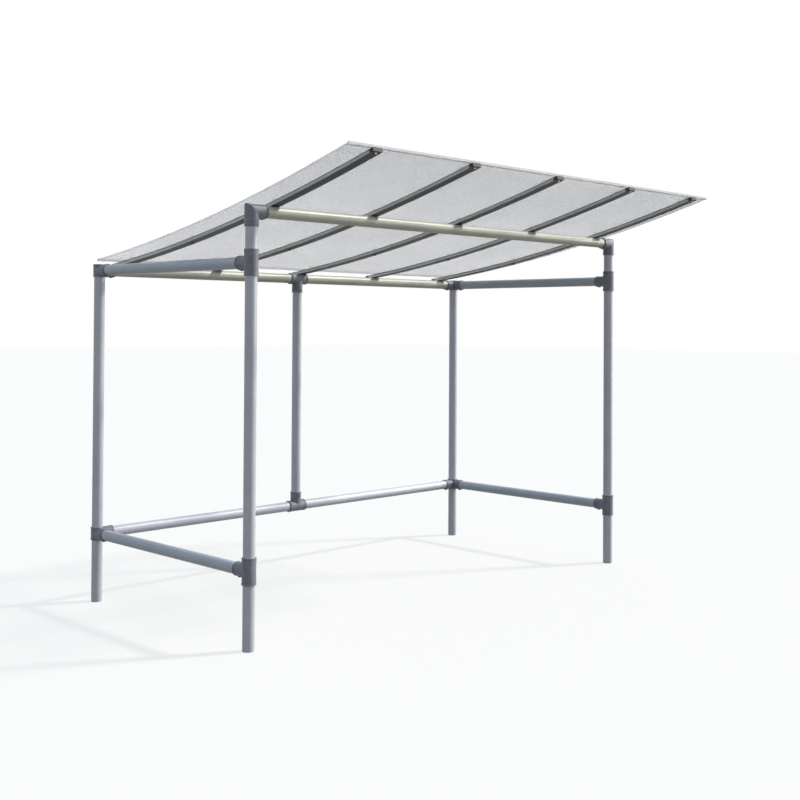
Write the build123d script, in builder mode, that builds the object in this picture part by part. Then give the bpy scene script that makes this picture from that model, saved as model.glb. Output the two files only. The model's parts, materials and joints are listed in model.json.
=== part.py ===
from build123d import *
import math
import os

# Open bicycle shelter: a frame of round tubes joined by cast clamp fittings,
# five bowed rafters laid over the front and rear beams, and one pale roof sheet.
# Millimetres. The origin is on the ground, under the middle of the whole outline.
# X runs along the front to the right, Y from the front to the rear, Z up.

# Frame layout, all between tube axes
post_spacing_x = 3000.0
post_spacing_y = 1397.0
middle_post_shift = -34.0
lower_rail_height = 384.0
rear_beam_height = 1876.0
front_beam_height = 2126.0

# Tube stock
tube_radius = 30.15
tube_wall = 3.2
tube_end_gap = 6.0

# Cast fittings
bore_clearance = 0.35
fitting_wall = 4.7
lip_height = 1.5
lip_width = 7.0
socket_reach = 90.0
elbow_reach = 80.0
elbow_drop = 75.0
tee_sleeve_length = 130.0
branch_step = 0.6
boss_radius = 9.5
boss_height = 4.0
screw_radius = 5.0
screw_clearance = 0.2
screw_point_gap = 0.2
screw_proud = 1.0
screw_socket_radius = 3.0
screw_socket_depth = 4.0
screw_inset = 19.0

# Plugs in the open tube tops
plug_thickness = 3.0
plug_depth = 14.0
plug_clearance = 0.3

# Rafters: rectangular tube bent to one radius
rafter_count = 5
rafter_pitch = 678.0
rafter_width = 60.0
rafter_height = 20.0
rafter_wall = 2.0
rafter_corner = 2.5
rafter_radius = 12500.0
rafter_front_reach = 733.0
rafter_rear_reach = 64.0
seat_clearance = 0.3
cap_length = 28.0
cap_spigot = 22.0
cap_clearance = 0.3

# Roof sheet and its edge profiles
sheet_thickness = 10.0
sheet_side_overhang = 22.0
sheet_front_reach = 722.0
sheet_rear_setback = 12.0
strip_wall = 1.6
strip_depth = 15.0
strip_clearance = 0.3
tape_width = 46.0
tape_clearance = 0.15

# Values that follow from the ones above
bore_radius = tube_radius + bore_clearance
fitting_radius = bore_radius + fitting_wall
left_x = -post_spacing_x / 2
right_x = post_spacing_x / 2
tape_space = strip_wall + 2 * strip_clearance
strip_height = sheet_thickness + 2 * (strip_wall + strip_clearance)

# The roof's arc lies in the YZ plane and passes over both beams. Its centre is above
# them, as far from each beam's axis as the rafter's radius and the seat ask.
seat_radius = rafter_radius + tube_radius + seat_clearance
beam_drop = front_beam_height - rear_beam_height
beam_chord = math.hypot(post_spacing_y, beam_drop)
centre_rise = math.sqrt(seat_radius**2 - (beam_chord / 2) ** 2)
roof_shift_y = post_spacing_y / 2 + centre_rise * beam_drop / beam_chord
centre_z = (front_beam_height + rear_beam_height) / 2 + centre_rise * post_spacing_y / beam_chord

# The outline runs from the rafters' front tips to their rear tips, and Y is measured
# from its middle.
front_y = (rafter_front_reach - post_spacing_y - rafter_rear_reach) / 2
rear_y = front_y + post_spacing_y
centre_y = front_y + roof_shift_y
middle_post_x = middle_post_shift

os.makedirs("parts", exist_ok=True)


def write(piece, name):
    piece.label = name
    export_step(piece, f"parts/{name}.step")


def upward(x, y, z=0.0):
    """A line up a post, turned so that a round body's seam misses the sockets and holes in it."""
    return Plane(origin=(x, y, z), x_dir=(1, 1, 0), z_dir=(0, 0, 1))


def downward(x, y, z):
    return Plane(origin=(x, y, z), x_dir=(1, 0, 0), z_dir=(0, 0, -1))


def along_x(x, y, z, sense=1):
    return Plane(origin=(x, y, z), x_dir=(0, 0, 1), z_dir=(sense, 0, 0))


def along_y(x, y, z, sense=1):
    return Plane(origin=(x, y, z), x_dir=(0, 0, 1), z_dir=(0, sense, 0))


def straight_tube(line, length, name):
    """A length of the round stock that starts at the line's origin."""
    with BuildPart() as tube:
        with BuildSketch(line) as ring:
            Circle(tube_radius)
            Circle(tube_radius - tube_wall, mode=Mode.SUBTRACT)
        extrude(ring.sketch, amount=length)
    write(tube.part, name)


def lip(line, start, radius):
    """A raised band round a cast body."""
    with BuildSketch(line.offset(start)) as ring:
        Circle(radius + lip_height)
    extrude(ring.sketch, amount=lip_width)


def sleeve(line, start, end, radius):
    """A round cast body along the line, with a raised lip at its far end."""
    with BuildSketch(line.offset(start)) as body:
        Circle(radius)
    extrude(body.sketch, amount=end - start)
    lip(line, end - lip_width, radius)


def bore(line, start, end):
    """The hole that a tube goes into."""
    with BuildSketch(line.offset(start)) as hole:
        Circle(bore_radius)
    extrude(hole.sketch, amount=end - start, mode=Mode.SUBTRACT)


def screw_bosses(lines):
    """Raised seats for the set screws; each line points outwards from a tube's axis."""
    for line in lines:
        with BuildSketch(line.offset(bore_radius + fitting_wall / 2)) as seat:
            Circle(boss_radius)
        extrude(seat.sketch, amount=fitting_wall / 2 + boss_height)


def screw_holes(lines):
    """The tapped holes of the set screws, through the fitting's wall."""
    for line in lines:
        with BuildSketch(line.offset(bore_radius - fitting_wall / 2)) as hole:
            Circle(screw_radius + screw_clearance)
        extrude(hole.sketch, amount=2 * fitting_wall + boss_height, mode=Mode.SUBTRACT)


def set_screws(lines):
    """Set screws whose points bear on the tube and whose tops stand just proud of the bosses."""
    screw_top = bore_radius + fitting_wall + boss_height + screw_proud
    screw_point = tube_radius + screw_point_gap
    for line in lines:
        with BuildSketch(line.offset(screw_point)) as shank:
            Circle(screw_radius)
        extrude(shank.sketch, amount=screw_top - screw_point)
        with BuildSketch(line.offset(screw_top)) as socket:
            RegularPolygon(screw_socket_radius, 6)
        extrude(socket.sketch, amount=-screw_socket_depth, mode=Mode.SUBTRACT)


# Posts

sides = (("left", left_x, 1), ("right", right_x, -1))
levels = (("upper", rear_beam_height), ("lower", lower_rail_height))
post_setback = tube_radius + tube_end_gap
rear_post_top = rear_beam_height + fitting_radius - plug_thickness
for side, x, inward in sides:
    straight_tube(upward(x, front_y), front_beam_height - post_setback, f"post_front_{side}")
    straight_tube(upward(x, rear_y), rear_post_top, f"post_rear_{side}")
straight_tube(
    upward(middle_post_x, rear_y, lower_rail_height + post_setback),
    rear_beam_height - lower_rail_height - 2 * post_setback,
    "post_rear_middle",
)

# Beams and rails between the posts

beam_length = post_spacing_x - 2 * post_setback
rail_length = post_spacing_y - 2 * post_setback
beam_start = left_x + post_setback
straight_tube(along_x(beam_start, front_y, front_beam_height), beam_length, "beam_front")
straight_tube(along_x(beam_start, rear_y, rear_beam_height), beam_length, "beam_rear")
straight_tube(along_x(beam_start, rear_y, lower_rail_height), beam_length, "rail_lower_rear")
for side, x, inward in sides:
    for level, z in levels:
        straight_tube(along_y(x, front_y + post_setback, z), rail_length, f"rail_{level}_{side}")

# Front corners: mitred elbows that carry the front beam

branch_radius = fitting_radius - branch_step
screw_reach = socket_reach - screw_inset
screws = []


def elbow_leg(line, reach, mitre, side_kept):
    """A sleeve that runs past the corner and is cut off at the mitre."""
    with BuildPart() as leg:
        sleeve(line, -2 * fitting_radius, reach, fitting_radius)
        split(bisect_by=mitre, keep=side_kept)
    return leg.part


for side, x, inward in sides:
    beam_line = along_x(x, front_y, front_beam_height, inward)
    post_line = downward(x, front_y, front_beam_height)
    mitre = Plane(origin=post_line.origin, x_dir=(0, 1, 0), z_dir=(inward, 0, 1))
    beam_leg = elbow_leg(beam_line, elbow_reach, mitre, Keep.TOP)
    post_leg = elbow_leg(post_line, elbow_drop, mitre, Keep.BOTTOM)
    elbow_screws = [
        downward(x + inward * (elbow_reach - screw_inset), front_y, front_beam_height),
        along_y(x, front_y, front_beam_height - elbow_drop + screw_inset),
    ]
    with BuildPart() as elbow:
        add(beam_leg)
        add(post_leg)
        screw_bosses(elbow_screws)
        bore(post_line, tube_radius, elbow_drop)
        bore(beam_line, tube_radius, elbow_reach)
        screw_holes(elbow_screws)
    write(elbow.part, f"elbow_front_{side}")
    screws += elbow_screws

# Tees that join the side rails to the front posts

screw_lift = tee_sleeve_length / 2 - screw_inset
for side, x, inward in sides:
    for level, z in levels:
        post_line = upward(x, front_y, z)
        rail_line = along_y(x, front_y, z)
        tee_screws = [
            along_x(x, front_y, z - screw_lift, inward),
            along_x(x, front_y, z + screw_lift, inward),
            downward(x, front_y + screw_reach, z),
        ]
        with BuildPart() as tee:
            sleeve(post_line, -tee_sleeve_length / 2, tee_sleeve_length / 2, fitting_radius)
            lip(post_line, -tee_sleeve_length / 2, fitting_radius)
            sleeve(rail_line, 0, socket_reach, branch_radius)
            screw_bosses(tee_screws)
            bore(post_line, -tee_sleeve_length / 2, tee_sleeve_length / 2)
            bore(rail_line, 0, socket_reach)
            screw_holes(tee_screws)
        write(tee.part, f"tee_{level}_{side}")
        screws += tee_screws

# Three-way corners on the rear posts

for side, x, inward in sides:
    for level, z in levels:
        post_line = upward(x, rear_y, z)
        beam_line = along_x(x, rear_y, z, inward)
        rail_line = along_y(x, rear_y, z, -1)
        corner_screws = [
            downward(x + inward * screw_reach, rear_y, z),
            downward(x, rear_y - screw_reach, z),
            along_y(x, rear_y, z),
        ]
        with BuildPart() as corner:
            sleeve(post_line, -fitting_radius, fitting_radius, fitting_radius)
            lip(post_line, -fitting_radius, fitting_radius)
            sleeve(beam_line, 0, socket_reach, branch_radius)
            sleeve(rail_line, 0, socket_reach, branch_radius)
            screw_bosses(corner_screws)
            bore(post_line, -fitting_radius, fitting_radius)
            bore(beam_line, 0, socket_reach)
            bore(rail_line, 0, socket_reach)
            screw_holes(corner_screws)
        write(corner.part, f"corner_{level}_{side}")
        screws += corner_screws

# Tees on the rear beam and the lower rear rail, for the middle post

middle_tees = (("upper", rear_beam_height, -1), ("lower", lower_rail_height, 1))
for level, z, sense in middle_tees:
    beam_line = along_x(middle_post_x, rear_y, z)
    post_line = Plane(origin=(middle_post_x, rear_y, z), x_dir=(1, 0, 0), z_dir=(0, 0, sense))
    tee_screws = [
        along_y(middle_post_x, rear_y, z + sense * screw_reach, -1),
        along_y(middle_post_x, rear_y, z),
    ]
    with BuildPart() as tee:
        sleeve(beam_line, -tee_sleeve_length / 2, tee_sleeve_length / 2, fitting_radius)
        lip(beam_line, -tee_sleeve_length / 2, fitting_radius)
        sleeve(post_line, 0, socket_reach, branch_radius)
        screw_bosses(tee_screws)
        bore(beam_line, -tee_sleeve_length / 2, tee_sleeve_length / 2)
        bore(post_line, 0, socket_reach)
        screw_holes(tee_screws)
    write(tee.part, f"tee_rear_{level}")
    screws += tee_screws

# Set screws with hexagon sockets, one in each boss

with BuildPart() as screw_set:
    set_screws(screws)
write(screw_set.part, "set_screws")

# Plugs that close the rear posts' tops

for side, x, inward in sides:
    plug_seat = upward(x, rear_y, rear_post_top)
    with BuildPart() as plug:
        with BuildSketch(plug_seat) as disc:
            Circle(tube_radius)
        extrude(disc.sketch, amount=plug_thickness)
        with BuildSketch(plug_seat) as stem:
            Circle(tube_radius - tube_wall - plug_clearance)
        extrude(stem.sketch, amount=-plug_depth)
    write(plug.part, f"post_plug_{side}")


# Roof: everything here is concentric with the rafters' arc. An angle is measured at the
# arc's centre from straight down, and grows towards the front.

def angle_at(y, radius):
    return math.asin((centre_y - y) / radius)


def arc_plane(x, angle, radius):
    """A section plane across the arc: local X is the world's X, local Y points to the centre."""
    return Plane(
        origin=(x, centre_y - radius * math.sin(angle), centre_z - radius * math.cos(angle)),
        x_dir=(1, 0, 0),
        z_dir=(0, -math.cos(angle), math.sin(angle)),
    )


def side_plane(x, angle, radius):
    """A plane seen from the side: local X points to the rear along the arc, local Y to the centre."""
    return Plane(
        origin=(x, centre_y - radius * math.sin(angle), centre_z - radius * math.cos(angle)),
        x_dir=(0, math.cos(angle), -math.sin(angle)),
        z_dir=(1, 0, 0),
    )


roof_axis = Axis((0, centre_y, centre_z), (1, 0, 0))


def cope():
    """Clears the sleeve of the middle post's upper tee, which stands proud of the rear beam."""
    sleeve_start = middle_post_x - tee_sleeve_length / 2 - seat_clearance
    with BuildSketch(along_x(sleeve_start, rear_y, rear_beam_height)) as clear:
        Circle(fitting_radius + lip_height + seat_clearance)
    extrude(clear.sketch, amount=tee_sleeve_length + 2 * seat_clearance, mode=Mode.SUBTRACT)


def bent_bar(section, front, rear, mode=Mode.ADD):
    """Bends a section made at the front angle along the arc to the rear angle."""
    revolve(section, axis=roof_axis, revolution_arc=math.degrees(front - rear), mode=mode)


rafter_top_radius = rafter_radius - rafter_height
rafter_mid_radius = rafter_radius - rafter_height / 2
sheet_under_radius = rafter_top_radius - tape_space
sheet_mid_radius = sheet_under_radius - sheet_thickness / 2
cap_angle = cap_length / rafter_mid_radius
spigot_angle = cap_spigot / rafter_mid_radius
front_tip = angle_at(front_y - rafter_front_reach, rafter_radius)
rear_tip = angle_at(rear_y + rafter_rear_reach, rafter_top_radius)
tube_front = front_tip - cap_angle
tube_rear = rear_tip + cap_angle
inner_width = rafter_width - 2 * rafter_wall
inner_height = rafter_height - 2 * rafter_wall
inner_corner = rafter_corner - rafter_wall
spigot_width = inner_width - 2 * cap_clearance
spigot_height = inner_height - 2 * cap_clearance
rafter_places = [(index - (rafter_count - 1) / 2) * rafter_pitch for index in range(rafter_count)]

# Rafters

for index, x in enumerate(rafter_places):
    with BuildPart() as rafter:
        with BuildSketch(arc_plane(x, tube_front, rafter_mid_radius)) as section:
            RectangleRounded(rafter_width, rafter_height, rafter_corner)
            RectangleRounded(inner_width, inner_height, inner_corner, mode=Mode.SUBTRACT)
        bent_bar(section.sketch, tube_front, tube_rear)
        cope()
    write(rafter.part, f"rafter_{index + 1}")

# Moulded noses at both ends of the rafters, each with a stem inside the tube

cap_ends = (
    ("front", front_tip, tube_front, tube_front, tube_front - spigot_angle),
    ("rear", tube_rear, rear_tip, tube_rear + spigot_angle, tube_rear),
)
for end, nose_front, nose_rear, stem_front, stem_rear in cap_ends:
    with BuildPart() as caps:
        for x in rafter_places:
            with BuildSketch(arc_plane(x, nose_front, rafter_mid_radius)) as nose:
                RectangleRounded(rafter_width, rafter_height, rafter_corner)
            bent_bar(nose.sketch, nose_front, nose_rear)
            with BuildSketch(arc_plane(x, stem_front, rafter_mid_radius)) as stem:
                RectangleRounded(spigot_width, spigot_height, inner_corner)
            bent_bar(stem.sketch, stem_front, stem_rear)
        cope()
    write(caps.part, f"rafter_caps_{end}")

# Roof sheet

sheet_width = post_spacing_x + 2 * sheet_side_overhang
strip_inset = (strip_wall + strip_clearance) / sheet_mid_radius
strip_front = angle_at(front_y - sheet_front_reach, sheet_under_radius)
strip_rear = angle_at(rear_y - sheet_rear_setback, sheet_under_radius)
sheet_front = strip_front - strip_inset
sheet_rear = strip_rear + strip_inset

with BuildPart() as sheet:
    with BuildSketch(arc_plane(0, sheet_front, sheet_mid_radius)) as section:
        Rectangle(sheet_width, sheet_thickness)
    bent_bar(section.sketch, sheet_front, sheet_rear)
write(sheet.part, "roof_sheet")

# Channel profiles on the sheet's front and rear edges

for end, angle, sense in (("front", strip_front, 1), ("rear", strip_rear, -1)):
    with BuildPart() as strip:
        with BuildSketch(side_plane(-sheet_width / 2, angle, sheet_mid_radius)) as section:
            with Locations((sense * strip_depth / 2, 0)):
                Rectangle(strip_depth, strip_height)
            with Locations((sense * (strip_wall + strip_depth / 2), 0)):
                Rectangle(strip_depth, sheet_thickness + 2 * strip_clearance, mode=Mode.SUBTRACT)
        extrude(section.sketch, amount=sheet_width)
    write(strip.part, f"edge_strip_{end}")

# Soft tape between each rafter and the sheet, clear of the edge profiles

tape_inset = (strip_depth + strip_clearance) / sheet_mid_radius
tape_front = strip_front - tape_inset
tape_rear = strip_rear + tape_inset
with BuildPart() as tapes:
    for x in rafter_places:
        with BuildSketch(arc_plane(x, tape_front, rafter_top_radius - tape_space / 2)) as section:
            Rectangle(tape_width, tape_space - 2 * tape_clearance)
        bent_bar(section.sketch, tape_front, tape_rear)
write(tapes.part, "rafter_tapes")
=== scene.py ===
# %% [markdown]
# # A bicycle shelter of round tube and cast fittings
# The real thing is a frame of plain 60 mm tube. Cast fittings clamp the tubes with set screws, five bowed
# rafters lie over the two beams, and one pale plastic sheet follows their bow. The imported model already
# holds every one of those pieces at its real size and place, so this lesson is about finish: what drawn
# metal, a sand casting and an embossed sheet look like, and how a few small screws make the joints true.

# %% Load the frame
import json
import math

import bmesh
import bpy
from mathutils import Matrix, Vector, geometry


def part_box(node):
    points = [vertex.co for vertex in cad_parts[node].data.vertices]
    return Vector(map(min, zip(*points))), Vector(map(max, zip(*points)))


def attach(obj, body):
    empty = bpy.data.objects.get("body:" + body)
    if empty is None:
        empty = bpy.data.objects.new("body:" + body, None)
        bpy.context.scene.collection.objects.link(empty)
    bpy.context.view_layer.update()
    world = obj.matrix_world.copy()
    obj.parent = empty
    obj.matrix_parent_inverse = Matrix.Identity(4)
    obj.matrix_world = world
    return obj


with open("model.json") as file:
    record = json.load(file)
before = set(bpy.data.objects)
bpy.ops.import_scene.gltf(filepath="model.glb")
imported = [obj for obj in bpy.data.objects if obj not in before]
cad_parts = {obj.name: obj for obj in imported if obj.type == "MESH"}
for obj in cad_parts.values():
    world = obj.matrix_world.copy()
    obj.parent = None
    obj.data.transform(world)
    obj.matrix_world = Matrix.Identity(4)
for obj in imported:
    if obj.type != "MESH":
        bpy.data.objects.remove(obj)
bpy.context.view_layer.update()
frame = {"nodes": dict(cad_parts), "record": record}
nodes = frame["nodes"]

# %% [markdown]
# ## The camera
# A person stood off the shelter's front left corner, about five and a half metres from the nearest post,
# and held the camera almost level. The lens is shifted down, so that the posts stay upright in the picture.
# A camera could be aimed with a Track To constraint, but its roll would be lost. So its three axes are
# worked out here from yaw, pitch and roll, and written straight into its matrix.

# %% Place the camera
camera_place = Vector((-4.9538, -4.8155, 1.58))
camera_yaw = math.radians(45.17)
camera_pitch = math.radians(0.83)
camera_roll = math.radians(0.33)

forward = Vector((
    math.sin(camera_yaw) * math.cos(camera_pitch),
    math.cos(camera_yaw) * math.cos(camera_pitch),
    math.sin(camera_pitch),
))
level_right = Vector((math.cos(camera_yaw), -math.sin(camera_yaw), 0))
level_up = level_right.cross(forward)
right = level_right * math.cos(camera_roll) + level_up * math.sin(camera_roll)
up = level_up * math.cos(camera_roll) - level_right * math.sin(camera_roll)

lens = bpy.data.cameras.new("eye_level_camera")
lens.lens = 51.92
lens.sensor_width = 36
lens.shift_y = -0.1155
camera = bpy.data.objects.new("eye_level_camera", lens)
camera.matrix_world = Matrix((
    (right.x, up.x, -forward.x, camera_place.x),
    (right.y, up.y, -forward.y, camera_place.y),
    (right.z, up.z, -forward.z, camera_place.z),
    (0, 0, 0, 1),
))
bpy.context.scene.collection.objects.link(camera)
bpy.context.scene.camera = camera
print("camera:", round(camera_place.length, 2), "m from the origin")

# %% [markdown]
# ## Helpers for shader trees
# Every finish below is a small tree of shader nodes. Adding a node, setting its options and filling its
# sockets takes three or four lines each time, so one helper does all of that and keeps the cells short.
# Options are plain words after the node's type, and socket values go in a dictionary.

# %% Helpers for nodes
def add_node(tree, kind, sockets=None, **options):
    node = tree.nodes.new(kind)
    for option, value in options.items():
        setattr(node, option, value)
    for socket, value in (sockets or {}).items():
        node.inputs[socket].default_value = value
    return node


def join(tree, source, output, target, socket):
    tree.links.new(source.outputs[output], target.inputs[socket])


def maths(tree, operation, first, second, clamp=False):
    """A Math node. Each input is a number or a (node, output) pair."""
    node = add_node(tree, "ShaderNodeMath", operation=operation, use_clamp=clamp)
    for index, value in enumerate((first, second)):
        if isinstance(value, tuple):
            join(tree, value[0], value[1], node, index)
        else:
            node.inputs[index].default_value = value
    return node


print("node helpers ready")

# %% [markdown]
# A Mix node keeps separate sockets for numbers, vectors and colours. For colours the factor is socket 0,
# the two colours are sockets 6 and 7, and the mix comes out of output 2, so those numbers stay in here.

# %% Helpers for colours and groups
def blend_colours(tree, factor, first, second, blend_type="MIX"):
    """A Mix node for colours. Each input is a value or a (node, output) pair."""
    node = add_node(tree, "ShaderNodeMix", data_type="RGBA", blend_type=blend_type)
    for socket, value in ((0, factor), (6, first), (7, second)):
        if isinstance(value, tuple) and isinstance(value[0], bpy.types.Node):
            join(tree, value[0], value[1], node, socket)
        else:
            node.inputs[socket].default_value = value
    return node


def new_group(name, inputs, outputs):
    """A node group with its sockets, and the two nodes that stand for them inside."""
    tree = bpy.data.node_groups.new(name, "ShaderNodeTree")
    for label, kind, value in inputs:
        socket = tree.interface.new_socket(
            name=label, in_out="INPUT", socket_type="NodeSocket" + kind)
        socket.default_value = value
    for label, kind in outputs:
        tree.interface.new_socket(name=label, in_out="OUTPUT", socket_type="NodeSocket" + kind)
    return tree, tree.nodes.new("NodeGroupInput"), tree.nodes.new("NodeGroupOutput")


print("colour and group helpers ready")

# %% [markdown]
# ## Soft light, a pale floor and a white background
# The object is judged by its colours, so the light is plain: an even sky, one broad lamp from high on the
# right, where the daylight came from, and a second one low on that side, which brings out the round of the
# posts. A sun lamp with a wide angle gives a soft edge to its shadows.
# The background is white only for rays that look at it: camera, glossy and transmission rays. Light Path
# tells them apart, so the white never adds light to the object.

# %% The sky
def rays_that_look(tree):
    """A Math node that is 1 for camera, glossy and transmission rays, and 0 for all others."""
    path = add_node(tree, "ShaderNodeLightPath")
    camera_or_glossy = maths(tree, "MAXIMUM", (path, "Is Camera Ray"), (path, "Is Glossy Ray"))
    return maths(tree, "MAXIMUM", (camera_or_glossy, 0), (path, "Is Transmission Ray"))


sky = bpy.data.worlds.new("studio_sky")
sky.use_nodes = True
tree = sky.node_tree
tree.nodes.clear()
looking = rays_that_look(tree)
ambient = add_node(tree, "ShaderNodeBackground", {"Color": (0.72, 0.84, 1.0, 1), "Strength": 0.44})
white = add_node(tree, "ShaderNodeBackground", {"Color": (1, 1, 1, 1), "Strength": 1.0})
choice = add_node(tree, "ShaderNodeMixShader")
world_output = add_node(tree, "ShaderNodeOutputWorld")
join(tree, looking, 0, choice, 0)
join(tree, ambient, 0, choice, 1)
join(tree, white, 0, choice, 2)
join(tree, choice, 0, world_output, "Surface")
bpy.context.scene.world = sky
bpy.context.scene.view_settings.view_transform = "Standard"
print("sky:", sky.name)

# %% The lamps
warm_daylight = (1.0, 0.97, 0.91)
# Name, direction toward the lamp, energy, and angle in degrees
lamps = (
    ("broad_daylight", (0.633, -0.349, 0.691), 2.6, 6),
    ("low_side_light", (0.868, -0.454, 0.200), 1.3, 12),
)
for name, direction, energy, angle in lamps:
    toward_lamp = Vector(direction).normalized()
    lamp = bpy.data.lights.new(name, "SUN")
    lamp.energy = energy
    lamp.angle = math.radians(angle)
    lamp.color = warm_daylight
    lamp_object = bpy.data.objects.new(name, lamp)
    lamp_object.rotation_euler = toward_lamp.to_track_quat("Z", "Y").to_euler()
    bpy.context.scene.collection.objects.link(lamp_object)
    height_angle = math.degrees(math.asin(toward_lamp.z))
    print(name, "stands", round(height_angle), "degrees above the horizon")

# %% [markdown]
# The floor is one large square. It is almost white to the eye and keeps a pale shadow, which is a mix of a
# plain white glow with an ordinary pale surface. What it throws back onto the object is darker, as a yard
# is, so the undersides of the rafters and rails stay as deep as they are outdoors.

# %% The floor
floor_reach = 60.0
floor_seen = (0.88, 0.88, 0.88, 1)
floor_bounce = (0.085, 0.072, 0.042, 1)
glow_when_seen = 0.74

floor_shape = bmesh.new()
bmesh.ops.create_grid(floor_shape, x_segments=1, y_segments=1, size=floor_reach)
floor_data = bpy.data.meshes.new("floor")
floor_shape.to_mesh(floor_data)
floor_shape.free()
floor = bpy.data.objects.new("floor", floor_data)
bpy.context.scene.collection.objects.link(floor)

floor_finish = bpy.data.materials.new("pale_floor")
floor_finish.use_nodes = True
tree = floor_finish.node_tree
tree.nodes.clear()
looking = rays_that_look(tree)
floor_colour = blend_colours(tree, (looking, 0), floor_bounce, floor_seen)
glow_share = maths(tree, "MULTIPLY", (looking, 0), glow_when_seen)
matt = add_node(tree, "ShaderNodeBsdfDiffuse")
glow = add_node(tree, "ShaderNodeEmission", {"Color": (1, 1, 1, 1), "Strength": 1.0})
floor_mix = add_node(tree, "ShaderNodeMixShader")
floor_output = add_node(tree, "ShaderNodeOutputMaterial")
join(tree, floor_colour, 2, matt, "Color")
join(tree, glow_share, 0, floor_mix, 0)
join(tree, matt, 0, floor_mix, 1)
join(tree, glow, 0, floor_mix, 2)
join(tree, floor_mix, 0, floor_output, "Surface")
floor_data.materials.append(floor_finish)
print("floor:", round(2 * floor_reach), "m square")

# %% [markdown]
# ## Effects that several finishes share
# Three effects come back in many finishes, so each is a node group, made once. `cloudy_patina` is the slow
# blotchy change of tone on weathered metal. `lengthwise_lines` is the faint drawing mark that runs along a
# tube, made by squeezing a noise across it. `fine_grain` is a surface that is rough to the touch. A group
# hands out only masks and heights, and each finish decides what to do with them.

# %% Group: cloudy patina
patina, inside, outside = new_group(
    "cloudy_patina",
    [("Vector", "Vector", (0, 0, 0)), ("Scale", "Float", 6.0), ("Contrast", "Float", 0.5)],
    [("Mask", "Float")],
)
clouds = add_node(
    patina, "ShaderNodeTexNoise", {"Detail": 4.0, "Roughness": 0.6, "Distortion": 0.4})
spread = add_node(patina, "ShaderNodeMapRange", {"From Min": 0.32, "From Max": 0.68})
centred = maths(patina, "SUBTRACT", (spread, 0), 0.5)
scaled = maths(patina, "MULTIPLY", (centred, 0), (inside, "Contrast"))
patina_mask = maths(patina, "ADD", (scaled, 0), 0.5, clamp=True)
join(patina, inside, "Vector", clouds, "Vector")
join(patina, inside, "Scale", clouds, "Scale")
join(patina, clouds, 0, spread, "Value")
join(patina, patina_mask, 0, outside, "Mask")
print("group:", patina.name)

# %% Group: lengthwise lines
lines, inside, outside = new_group(
    "lengthwise_lines",
    [("Vector", "Vector", (0, 0, 0)), ("Squeeze", "Vector", (1, 1, 1))],
    [("Mask", "Float")],
)
squeezed = add_node(lines, "ShaderNodeVectorMath", operation="MULTIPLY")
streaks = add_node(lines, "ShaderNodeTexNoise", {"Scale": 1.0, "Detail": 3.0, "Roughness": 0.55})
line_mask = add_node(lines, "ShaderNodeMapRange", {"From Min": 0.3, "From Max": 0.7})
join(lines, inside, "Vector", squeezed, 0)
join(lines, inside, "Squeeze", squeezed, 1)
join(lines, squeezed, 0, streaks, "Vector")
join(lines, streaks, 0, line_mask, "Value")
join(lines, line_mask, 0, outside, "Mask")
print("group:", lines.name)

# %% [markdown]
# The grain has two parts, a soft noise and a field of pits. The pits are cells of a Voronoi texture, made
# larger than the noise, and the mask is dark in the middle of each one.

# %% Group: fine grain
grain, inside, outside = new_group(
    "fine_grain",
    [("Vector", "Vector", (0, 0, 0)), ("Scale", "Float", 600.0)],
    [("Height", "Float"), ("Pits", "Float")],
)
soft_grain = add_node(grain, "ShaderNodeTexNoise", {"Detail": 2.0, "Roughness": 0.6})
cells = add_node(grain, "ShaderNodeTexVoronoi", {"Randomness": 1.0}, feature="F1")
cell_scale = maths(grain, "MULTIPLY", 0.4, (inside, "Scale"))
pits = add_node(grain, "ShaderNodeMapRange", {"From Min": 0.05, "From Max": 0.35})
height = maths(grain, "ADD", (soft_grain, 0), (pits, 0))
join(grain, inside, "Vector", soft_grain, "Vector")
join(grain, inside, "Vector", cells, "Vector")
join(grain, inside, "Scale", soft_grain, "Scale")
join(grain, cell_scale, 0, cells, "Scale")
join(grain, cells, "Distance", pits, "Value")
join(grain, height, 0, outside, "Height")
join(grain, pits, 0, outside, "Pits")
print("group:", grain.name)

# %% [markdown]
# Every finish starts the same way, and most end in the same three sockets: a colour, a roughness and a
# bump. Five helpers hold those steps. All noise runs on Object coordinates, so it stays where it is on a
# piece, and has the same size on a long tube as on a short one.

# %% Helpers for finishes
def start_finish(name, **plain):
    """A material, its shader, and its Object coordinates. Plain values go straight on the shader."""
    material = bpy.data.materials.new(name)
    material.use_nodes = True
    tree = material.node_tree
    shader = tree.nodes["Principled BSDF"]
    for socket, value in plain.items():
        shader.inputs[socket.replace("_", " ")].default_value = value
    return material, tree, shader, add_node(tree, "ShaderNodeTexCoord")


def use_group(tree, group, place, **values):
    """A copy of a shared effect in this finish, fed with the piece's own coordinates."""
    node = add_node(tree, "ShaderNodeGroup", node_tree=group)
    join(tree, place, "Object", node, "Vector")
    for socket, value in values.items():
        node.inputs[socket].default_value = value
    return node


def streaked_tone(tree, blotches, marks, dark, light, streak, strength):
    """Two tones mixed by the blotches, and darkened in streaks along the marks."""
    tone = blend_colours(tree, (blotches, 0), dark, light)
    streaks = blend_colours(tree, (marks, 0), streak, (1.0, 1.0, 1.0, 1))
    return blend_colours(tree, strength, (tone, 2), (streaks, 2), blend_type="MULTIPLY")


def roughness_from(tree, shader, source, output, low, high):
    span = add_node(tree, "ShaderNodeMapRange", {"To Min": low, "To Max": high})
    join(tree, source, output, span, "Value")
    join(tree, span, 0, shader, "Roughness")


def add_bump(tree, shader, source, output, distance, strength):
    bump = add_node(tree, "ShaderNodeBump", {"Distance": distance, "Strength": strength})
    join(tree, source, output, bump, "Height")
    join(tree, bump, "Normal", shader, "Normal")


print("finish helpers ready")

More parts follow.
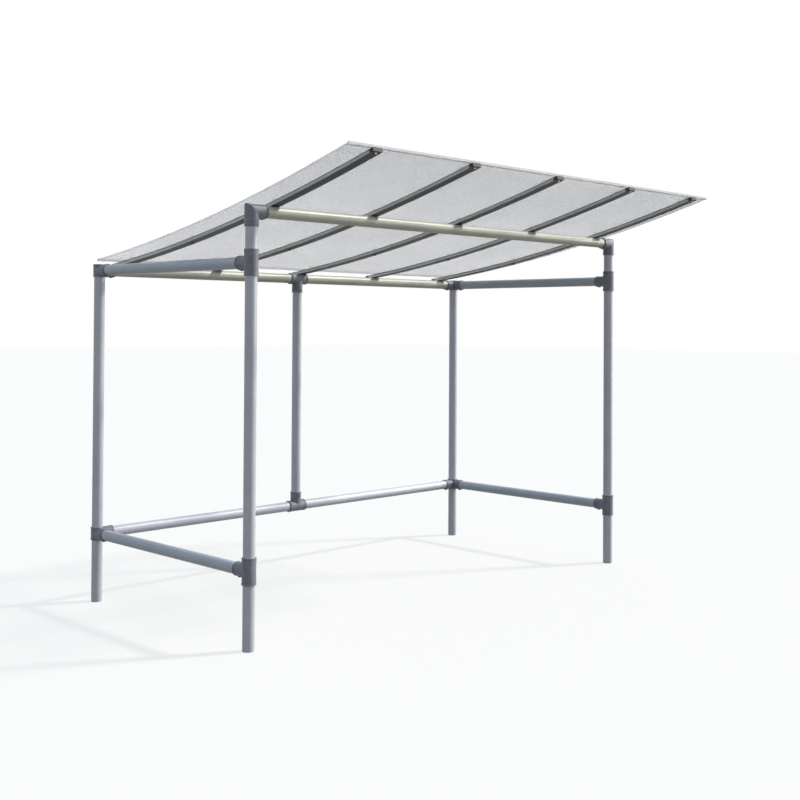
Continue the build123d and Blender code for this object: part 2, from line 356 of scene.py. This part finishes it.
# %% [markdown]
# ## Drawn tube
# The posts, beams and rails are drawn aluminium, left to weather: a satin blue grey with faint marks along
# each tube. One finish can't do for all of them, because the marks run up a post but sideways along a
# beam. The same recipe is used for each direction, with the noise squeezed across a different pair of
# axes. The two beams get a yellower tone, which is painted warm light from the sunlit ground, and the short
# side rails a darker, bluer tone, which is painted sky-lit shade, so these get tones of their own.

# %% Tube finishes
def tube_finish(name, squeeze, dark, light):
    material, tree, shader, place = start_finish(name, Metallic=0.15, Specular_IOR_Level=0.15)
    blotches = use_group(tree, patina, place, Scale=5.0, Contrast=0.8)
    marks = use_group(tree, lines, place, Squeeze=squeeze)
    colour = streaked_tone(
        tree, blotches, marks, dark, light, streak=(0.86, 0.87, 0.88, 1), strength=0.55)
    join(tree, colour, 2, shader, "Base Color")
    roughness_from(tree, shader, marks, 0, low=0.38, high=0.48)
    add_bump(tree, shader, marks, 0, distance=0.0004, strength=0.35)
    return material


across = 260.0
along = 2.2
up_the_post = (across, across, along)
sideways = (along, across, across)
front_to_back = (across, along, across)
blue_grey = ((0.600, 0.615, 0.690, 1), (0.680, 0.695, 0.760, 1))
# Painted shade: a darker, bluer copy of the tube tone, for the sky-lit shade the side rails sit in
rail_painted_sky_shade = ((0.510, 0.565, 0.645, 1), (0.590, 0.645, 0.720, 1))
# Painted light: a yellower copy of the tube tone, for warm light thrown up from the sunlit ground
beam_painted_warm_light = ((0.545, 0.545, 0.475, 1), (0.635, 0.635, 0.565, 1))

finishes = {
    "tube_upright": tube_finish("tube_upright", up_the_post, *blue_grey),
    "tube_sideways": tube_finish("tube_sideways", sideways, *blue_grey),
    "tube_lengthways": tube_finish("tube_lengthways", front_to_back, *rail_painted_sky_shade),
    "beam": tube_finish("beam", sideways, *beam_painted_warm_light),
}
print("tube finishes:", sorted(finishes))

# %% [markdown]
# ## Sand castings
# The fittings come out of a sand mould and are only tumbled, so they are darker and duller than the tube,
# with a skin like fine sandpaper. The grain is real relief, so it goes to the normal. The blotches are
# dirt and oxide, so they go to the colour, and so does the dirt that sits in the pits.

# %% Casting finish
casting, tree, shader, place = start_finish("cast_fitting", Metallic=0.10)
blotches = use_group(tree, patina, place, Scale=22.0, Contrast=1.0)
skin = use_group(tree, grain, place, Scale=1150.0)
tone = blend_colours(tree, (blotches, 0), (0.185, 0.196, 0.235, 1), (0.280, 0.295, 0.338, 1))
pitted = blend_colours(tree, (skin, "Pits"), (0.150, 0.158, 0.185, 1), (tone, 2))
join(tree, pitted, 2, shader, "Base Color")
roughness_from(tree, shader, skin, "Pits", low=0.72, high=0.52)
add_bump(tree, shader, skin, "Height", distance=0.0003, strength=0.45)
finishes["fitting"] = casting
print("finish:", casting.name)

# %% [markdown]
# ## The bow of the roof
# The five rafters are bent to one circle, whose centre lies high above the roof. A point's distance from
# that centre tells how far up a rafter's side it is, so a line can follow the bow exactly. Three points on
# one underside are enough to find the centre: it is where the perpendiculars through the middles of two
# chords meet. The points come from rays, which start below or above a piece and stop where they hit it.

# %% Find a surface
above_the_roof = 4.0


def surface(name, x, y, from_below):
    """Where a vertical ray meets a node, and the way out of its surface there."""
    start = Vector((x, y, 0.0 if from_below else above_the_roof))
    heading = Vector((0, 0, 1.0 if from_below else -1.0))
    hit, place, normal = nodes[name].ray_cast(start, heading)[:3]
    if not hit:
        raise ValueError(f"no surface of {name} at {x:.3f}, {y:.3f}")
    if normal.dot(heading) > 0:
        normal.negate()
    return place, normal


rafter_names = sorted(name for name in nodes if name.startswith("rafter_") and name[-1].isdigit())
rafter_x = [(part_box(name)[0].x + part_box(name)[1].x) / 2 for name in rafter_names]
print("rafters at x =", [round(x, 3) for x in rafter_x])

# %% Find the circle of the bow
probe_reach = 0.95
front, middle, rear = (
    surface(rafter_names[0], rafter_x[0], y, from_below=True)[0]
    for y in (-probe_reach, 0.0, probe_reach))
across_chord = Matrix.Rotation(math.pi / 2, 3, "X")
first_middle = (front + middle) / 2
second_middle = (middle + rear) / 2
bow_centre = geometry.intersect_line_line(
    first_middle, first_middle + across_chord @ (middle - front),
    second_middle, second_middle + across_chord @ (rear - middle))[0]
bow_radius = (middle - bow_centre).length
print("bow: radius", round(bow_radius, 2), "m, centre", [round(value, 2) for value in bow_centre])

# %% [markdown]
# ## Rafters
# The rafters are mill-finish extrusions, a shade greener and duller than the tube. Their marks run along
# the bow. Their undersides are painted dark and lose their metal shine, which is painted shade, and a thin
# dark line of painted shade follows the corner where each side meets the tape. Both are places on the
# piece, so masks from its normal and from the bow's circle pick them out.

# %% Rafter finish
underside_painted_shade = (0.120, 0.128, 0.165, 1)
corner_painted_shade = (0.20, 0.205, 0.195, 1)
line_height = 0.0150
metal_share = 0.34

extrusion, tree, shader, place = start_finish("rafter_extrusion", Specular_IOR_Level=0.2)
blotches = use_group(tree, patina, place, Scale=7.0, Contrast=0.9)
marks = use_group(tree, lines, place, Squeeze=(420.0, 3.0, 420.0))
colour = streaked_tone(
    tree, blotches, marks, dark=(0.700, 0.725, 0.665, 1), light=(0.800, 0.820, 0.760, 1),
    streak=(0.84, 0.84, 0.84, 1), strength=0.6)
roughness_from(tree, shader, marks, 0, low=0.52, high=0.66)
add_bump(tree, shader, marks, 0, distance=0.0003, strength=0.3)

# Faces that look down, which get painted shade
shape = add_node(tree, "ShaderNodeNewGeometry")
split_normal = add_node(tree, "ShaderNodeSeparateXYZ")
join(tree, shape, "True Normal", split_normal, 0)
downward = maths(tree, "LESS_THAN", (split_normal, "Z"), -0.6)

# Points more than the line's height above the underside, which get a line of painted shade
from_centre = add_node(tree, "ShaderNodeVectorMath", {1: bow_centre}, operation="SUBTRACT")
in_plane = add_node(tree, "ShaderNodeVectorMath", {1: (0, 1, 1)}, operation="MULTIPLY")
distance = add_node(tree, "ShaderNodeVectorMath", operation="LENGTH")
join(tree, place, "Object", from_centre, 0)
join(tree, from_centre, 0, in_plane, 0)
join(tree, in_plane, 0, distance, 0)
shaded_corner_band = maths(tree, "LESS_THAN", (distance, "Value"), bow_radius - line_height)

# Painted shade on the undersides: a dark colour for faces that look down
underside_shaded = blend_colours(tree, (downward, 0), (colour, 2), underside_painted_shade)
# Painted shade in the corner: a dark line along the top of each side, under the sheet
corner_shaded = blend_colours(tree, (shaded_corner_band, 0), (underside_shaded, 2), corner_painted_shade)
join(tree, corner_shaded, 2, shader, "Base Color")
# Faces that look down also lose their metal shine, as part of the same painted shade
not_underside = maths(tree, "SUBTRACT", 1.0, (downward, 0))
metal = maths(tree, "MULTIPLY", (not_underside, 0), metal_share)
join(tree, metal, 0, shader, "Metallic")
finishes["rafter"] = extrusion
print("finish:", extrusion.name)

# %% [markdown]
# ## Moulded plastics, screws and foam
# The small pieces are simple, but none is one flat colour. Moulded caps have a faint leather-like texture,
# plated screws have a cloudy shine, and foam tape is matt with fine pores. One short recipe covers them:
# two tones mixed by the patina, a grain for relief, and a span of roughness.

# %% Finishes of the small pieces
def plain_finish(name, dark, light, blotch_scale, grain_scale, roughness, relief, **plain):
    material, tree, shader, place = start_finish(name, **plain)
    blotches = use_group(tree, patina, place, Scale=blotch_scale, Contrast=0.9)
    skin = use_group(tree, grain, place, Scale=grain_scale)
    tone = blend_colours(tree, (blotches, 0), dark, light)
    join(tree, tone, 2, shader, "Base Color")
    roughness_from(tree, shader, blotches, 0, *roughness)
    add_bump(tree, shader, skin, "Height", distance=relief, strength=0.4)
    return material


finishes["set_screw"] = plain_finish(
    "plated_screw", (0.20, 0.17, 0.15, 1), (0.42, 0.40, 0.38, 1),
    blotch_scale=90.0, grain_scale=900.0, roughness=(0.30, 0.48), relief=0.0002, Metallic=0.85)
finishes["plug"] = plain_finish(
    "moulded_plug", (0.035, 0.035, 0.040, 1), (0.060, 0.060, 0.065, 1),
    blotch_scale=25.0, grain_scale=700.0, roughness=(0.42, 0.60), relief=0.0003)
finishes["rafter_cap"] = plain_finish(
    "moulded_rafter_cap", (0.150, 0.138, 0.130, 1), (0.210, 0.195, 0.185, 1),
    blotch_scale=30.0, grain_scale=700.0, roughness=(0.60, 0.75), relief=0.0001, Specular_IOR_Level=0.2)
finishes["tape"] = plain_finish(
    "foam_tape", (0.060, 0.062, 0.064, 1), (0.105, 0.108, 0.110, 1),
    blotch_scale=60.0, grain_scale=1100.0, roughness=(0.85, 0.95), relief=0.0006)
print("finishes:", sorted(finishes))

# %% [markdown]
# ## Edge profiles
# A pale channel closes the sheet's front and rear edges. It is thin enough to let some light through, and
# dust gathers along it, which the patina gives.

# %% Edge profile finish
finishes["edge_strip"] = plain_finish(
    "edge_profile", (0.74, 0.75, 0.755, 1), (0.87, 0.875, 0.88, 1),
    blotch_scale=9.0, grain_scale=500.0, roughness=(0.30, 0.45), relief=0.0002, Alpha=0.34)
print("finish:", finishes["edge_strip"].name)

# %% [markdown]
# ## The roof sheet
# The sheet is translucent plastic with a hammered face. Daylight scatters inside it, which is what
# Subsurface does, so from below it is a pale even grey with a fine mottle. Its side edges, seen end on,
# get one tone of their own. The relief comes from the mottle and from the cells of the hammered face.

# %% Sheet finish: colour and relief
sheet, tree, shader, place = start_finish(
    "embossed_sheet", Roughness=0.5, IOR=1.45, Specular_IOR_Level=0.25,
    Subsurface_Weight=1.0, Subsurface_Scale=0.03, Subsurface_Radius=(0.75, 0.85, 1.0))
mottle = use_group(tree, patina, place, Scale=120.0, Contrast=1.3)
tone = blend_colours(tree, (mottle, 0), (0.60, 0.62, 0.70, 1), (0.68, 0.70, 0.78, 1))

shape = add_node(tree, "ShaderNodeNewGeometry")
split_normal = add_node(tree, "ShaderNodeSeparateXYZ")
join(tree, shape, "True Normal", split_normal, 0)
turned_sideways = maths(tree, "ABSOLUTE", (split_normal, "X"), 0.0)
side_edge = maths(tree, "GREATER_THAN", (turned_sideways, 0), 0.9)
colour = blend_colours(tree, (side_edge, 0), (tone, 2), (0.60, 0.62, 0.66, 1))
join(tree, colour, 2, shader, "Base Color")

hammer = add_node(tree, "ShaderNodeTexVoronoi", {"Scale": 95.0}, feature="SMOOTH_F1")
join(tree, place, "Object", hammer, "Vector")
relief = maths(tree, "ADD", (hammer, "Distance"), (mottle, 0))
add_bump(tree, shader, relief, 0, distance=0.0006, strength=0.3)
finishes["roof"] = sheet
print("finish:", sheet.name)

# %% [markdown]
# How clear the sheet is could come from glass, but that bends the view and blocks the lamp. Here it is
# Alpha: how much of the view each face holds back. A thin veil lies everywhere, and the mottle, slow
# clouds and the ribs inside add to it. A thicker veil toward the front edge is painted shade, for the
# darker look of the sheet where it is seen more nearly edge-on. Lamps reach the beams through the real
# sheet, because most of what it holds back is scattered onward, so shadow rays meet a thinner veil.

# %% Sheet finish: clearness
even_veil = 0.11
edge_veil = 0.22
scattered_onward = 0.60

clouds = use_group(tree, patina, place, Scale=2.2, Contrast=0.9)
ribs = add_node(
    tree, "ShaderNodeTexWave", {"Scale": 14.0, "Distortion": 0.0},
    wave_type="BANDS", bands_direction="X")
join(tree, place, "Object", ribs, "Vector")
split_place = add_node(tree, "ShaderNodeSeparateXYZ")
join(tree, place, "Object", split_place, 0)
# Painted shade: the veil thickens toward the front edge, which darkens the sheet there
front_painted_shade = add_node(
    tree, "ShaderNodeMapRange", {"From Min": 0.6, "From Max": -1.1, "To Max": 0.07})
join(tree, split_place, "Y", front_painted_shade, "Value")

veil = maths(tree, "ADD", (front_painted_shade, 0), even_veil)
for effect, share in ((mottle, 0.20), (clouds, 0.05), (ribs, 0.03), (side_edge, edge_veil)):
    part = maths(tree, "MULTIPLY", (effect, 0), share)
    veil = maths(tree, "ADD", (veil, 0), (part, 0), clamp=True)

path = add_node(tree, "ShaderNodeLightPath")
let_through = maths(tree, "MULTIPLY", (path, "Is Shadow Ray"), scattered_onward)
kept_back = maths(tree, "SUBTRACT", 1.0, (let_through, 0))
alpha = maths(tree, "MULTIPLY", (veil, 0), (kept_back, 0))
join(tree, alpha, 0, shader, "Alpha")
print("veil:", even_veil, "and more, thinned for the lamps by", scattered_onward)

# %% [markdown]
# ## Dress the frame
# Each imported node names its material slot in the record. The tubes are sorted by the direction in which
# they are longest, which their boxes tell, and the two beams by their names.

# %% Put the finishes on the nodes
tube_by_axis = ("tube_sideways", "tube_lengthways", "tube_upright")
slots = {part["node"]: part["material_slot"] for part in frame["record"]["subparts"]}
for name, slot in slots.items():
    finish = slot
    if name.startswith("beam"):
        finish = "beam"
    elif slot == "tube":
        low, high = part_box(name)
        lengths = list(high - low)
        finish = tube_by_axis[lengths.index(max(lengths))]
    nodes[name].data.materials.clear()
    nodes[name].data.materials.append(finishes[finish])
print("dressed", len(slots), "nodes")

# %% [markdown]
# ## Small screws, modelled once and set many times
# A screw head is a turned shape with a hexagon pressed into it. Its outline is spun round the Z axis, the
# hole left in the middle is bridged to a six-sided ring, and that ring is pushed down for the socket. Each
# screw then takes its place and tilt from the surface that it sits on, which a ray finds.

# %% Shape of a screw head
def turned_head(outline, socket_radius, socket_depth, steps=20):
    """A screw head standing on Z = 0. The outline goes from the rim to the ring around the socket."""
    shape = bmesh.new()
    profile = [shape.verts.new((radius, 0, height)) for radius, height in outline]
    edges = [shape.edges.new(pair) for pair in zip(profile, profile[1:])]
    bmesh.ops.spin(
        shape, geom=profile + edges, cent=(0, 0, 0), axis=(0, 0, 1),
        angle=2 * math.pi, steps=steps, use_merge=True, use_duplicate=False,
    )
    same_place = 1e-6
    bmesh.ops.remove_doubles(shape, verts=shape.verts, dist=same_place)
    top = outline[-1][1]
    open_edges = [edge for edge in shape.edges if edge.is_boundary]
    top_ring = [edge for edge in open_edges if edge.verts[0].co.z > top - same_place]
    base_ring = [edge for edge in open_edges if edge not in top_ring]
    made = bmesh.ops.create_circle(shape, cap_ends=False, segments=6, radius=socket_radius)
    bmesh.ops.translate(shape, verts=made["verts"], vec=(0, 0, top))
    hexagon = list(dict.fromkeys(edge for vert in made["verts"] for edge in vert.link_edges))
    bmesh.ops.bridge_loops(shape, edges=top_ring + hexagon)
    pushed = bmesh.ops.extrude_edge_only(shape, edges=hexagon)["geom"]
    socket_verts = [item for item in pushed if isinstance(item, bmesh.types.BMVert)]
    socket_edges = [item for item in pushed if isinstance(item, bmesh.types.BMEdge)]
    bmesh.ops.translate(shape, verts=socket_verts, vec=(0, 0, -socket_depth))
    bmesh.ops.holes_fill(shape, edges=socket_edges, sides=6)
    bmesh.ops.holes_fill(shape, edges=base_ring, sides=steps)
    bmesh.ops.recalc_face_normals(shape, faces=shape.faces)
    return shape


# Radius and height of each point of a pan head, in metres
pan_outline = [(0.0055, 0.0), (0.0055, 0.0012), (0.0048, 0.0026), (0.0034, 0.0034), (0.0026, 0.0036)]
pan_head = turned_head(pan_outline, socket_radius=0.0016, socket_depth=0.0016)
closed = all(edge.is_manifold for edge in pan_head.edges)
print("pan head:", len(pan_head.faces), "faces, closed:", closed)

# %% [markdown]
# One mesh holds all the copies of a screw, so that the shelter gains one piece and not ten. Each copy is
# turned and moved as a bmesh, and the finished object itself stays at the origin.

# %% Set a copy on a surface
def copy_onto(target, shape, place, normal):
    """Adds a copy of a shape to the target, standing on a surface."""
    stamp = shape.copy()
    turn = normal.to_track_quat("Z", "Y").to_matrix().to_4x4()
    bmesh.ops.transform(stamp, matrix=Matrix.Translation(place) @ turn, verts=stamp.verts)
    data = bpy.data.meshes.new("stamp")
    stamp.to_mesh(data)
    stamp.free()
    target.from_mesh(data)
    bpy.data.meshes.remove(data)


def add_piece(name, shape, finish):
    """Turns a shape into a finished piece that rides on the shelter's one body."""
    data = bpy.data.meshes.new(name)
    shape.to_mesh(data)
    shape.free()
    data.materials.append(finish)
    piece = bpy.data.objects.new(name, data)
    bpy.context.scene.collection.objects.link(piece)
    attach(piece, "root")
    print(name + ":", len(data.polygons), "faces")


print("piece helpers ready")

# %% [markdown]
# Three rows of small fixings finish the roof. A bright pan head pins each moulded nose to its rafter from
# below. Midway between the two beams a dark hexagon nut closes the bolt that holds the sheet, and on top
# of the sheet that bolt, and three more along each rafter, end in a domed sealing button.

# %% Screws under the rafters' noses
nose_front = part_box("rafter_caps_front")[0].y
nose_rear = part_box("rafter_caps_rear")[1].y
nose_screw_inset = 0.017

nose_screws = bmesh.new()
for x in rafter_x:
    for caps, y in (("rafter_caps_front", nose_front + nose_screw_inset),
                    ("rafter_caps_rear", nose_rear - nose_screw_inset)):
        copy_onto(nose_screws, pan_head, *surface(caps, x, y, from_below=True))
pan_head.free()
bright_screw = plain_finish(
    "bright_screw", (0.62, 0.62, 0.62, 1), (0.80, 0.80, 0.79, 1),
    blotch_scale=120.0, grain_scale=900.0, roughness=(0.20, 0.32), relief=0.0001, Metallic=0.9)
add_piece("nose_screws", nose_screws, bright_screw)

# %% Nuts under the rafters
front_beam_y = (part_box("beam_front")[0].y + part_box("beam_front")[1].y) / 2
rear_beam_y = (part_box("beam_rear")[0].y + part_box("beam_rear")[1].y) / 2
middle_y = (front_beam_y + rear_beam_y) / 2
washer_outline = [(0.0105, 0.0), (0.0105, 0.0012), (0.0080, 0.0018), (0.0075, 0.0018)]
nut_outline = [(0.0075, 0.0018), (0.0075, 0.0070), (0.0066, 0.0082), (0.0036, 0.0082)]

washer = turned_head(washer_outline, socket_radius=0.0040, socket_depth=0.0005, steps=24)
nut = turned_head(nut_outline, socket_radius=0.0030, socket_depth=0.0020, steps=6)
sheet_nuts = bmesh.new()
for name, x in zip(rafter_names, rafter_x):
    place, normal = surface(name, x, middle_y, from_below=True)
    copy_onto(sheet_nuts, washer, place, normal)
    copy_onto(sheet_nuts, nut, place, normal)
washer.free()
nut.free()
dark_nut = plain_finish(
    "dark_nut", (0.045, 0.040, 0.038, 1), (0.11, 0.10, 0.095, 1),
    blotch_scale=110.0, grain_scale=900.0, roughness=(0.40, 0.60), relief=0.0002, Metallic=0.7)
add_piece("sheet_nuts", sheet_nuts, dark_nut)

# %% Sealing buttons on the sheet
button_outline = [(0.0150, 0.0), (0.0150, 0.0015), (0.0135, 0.0026), (0.0100, 0.0032),
                  (0.0085, 0.0052), (0.0055, 0.0066), (0.0032, 0.0070)]
front_button_inset = 0.11
rear_button_offset = 0.10
button_rows = (
    nose_front + front_button_inset, front_beam_y, middle_y, rear_beam_y - rear_button_offset)

button = turned_head(button_outline, socket_radius=0.0024, socket_depth=0.0022, steps=24)
sealing_buttons = bmesh.new()
for x in rafter_x:
    for y in button_rows:
        copy_onto(sealing_buttons, button, *surface("roof_sheet", x, y, from_below=False))
button.free()
add_piece("sealing_buttons", sealing_buttons, finishes["edge_strip"])
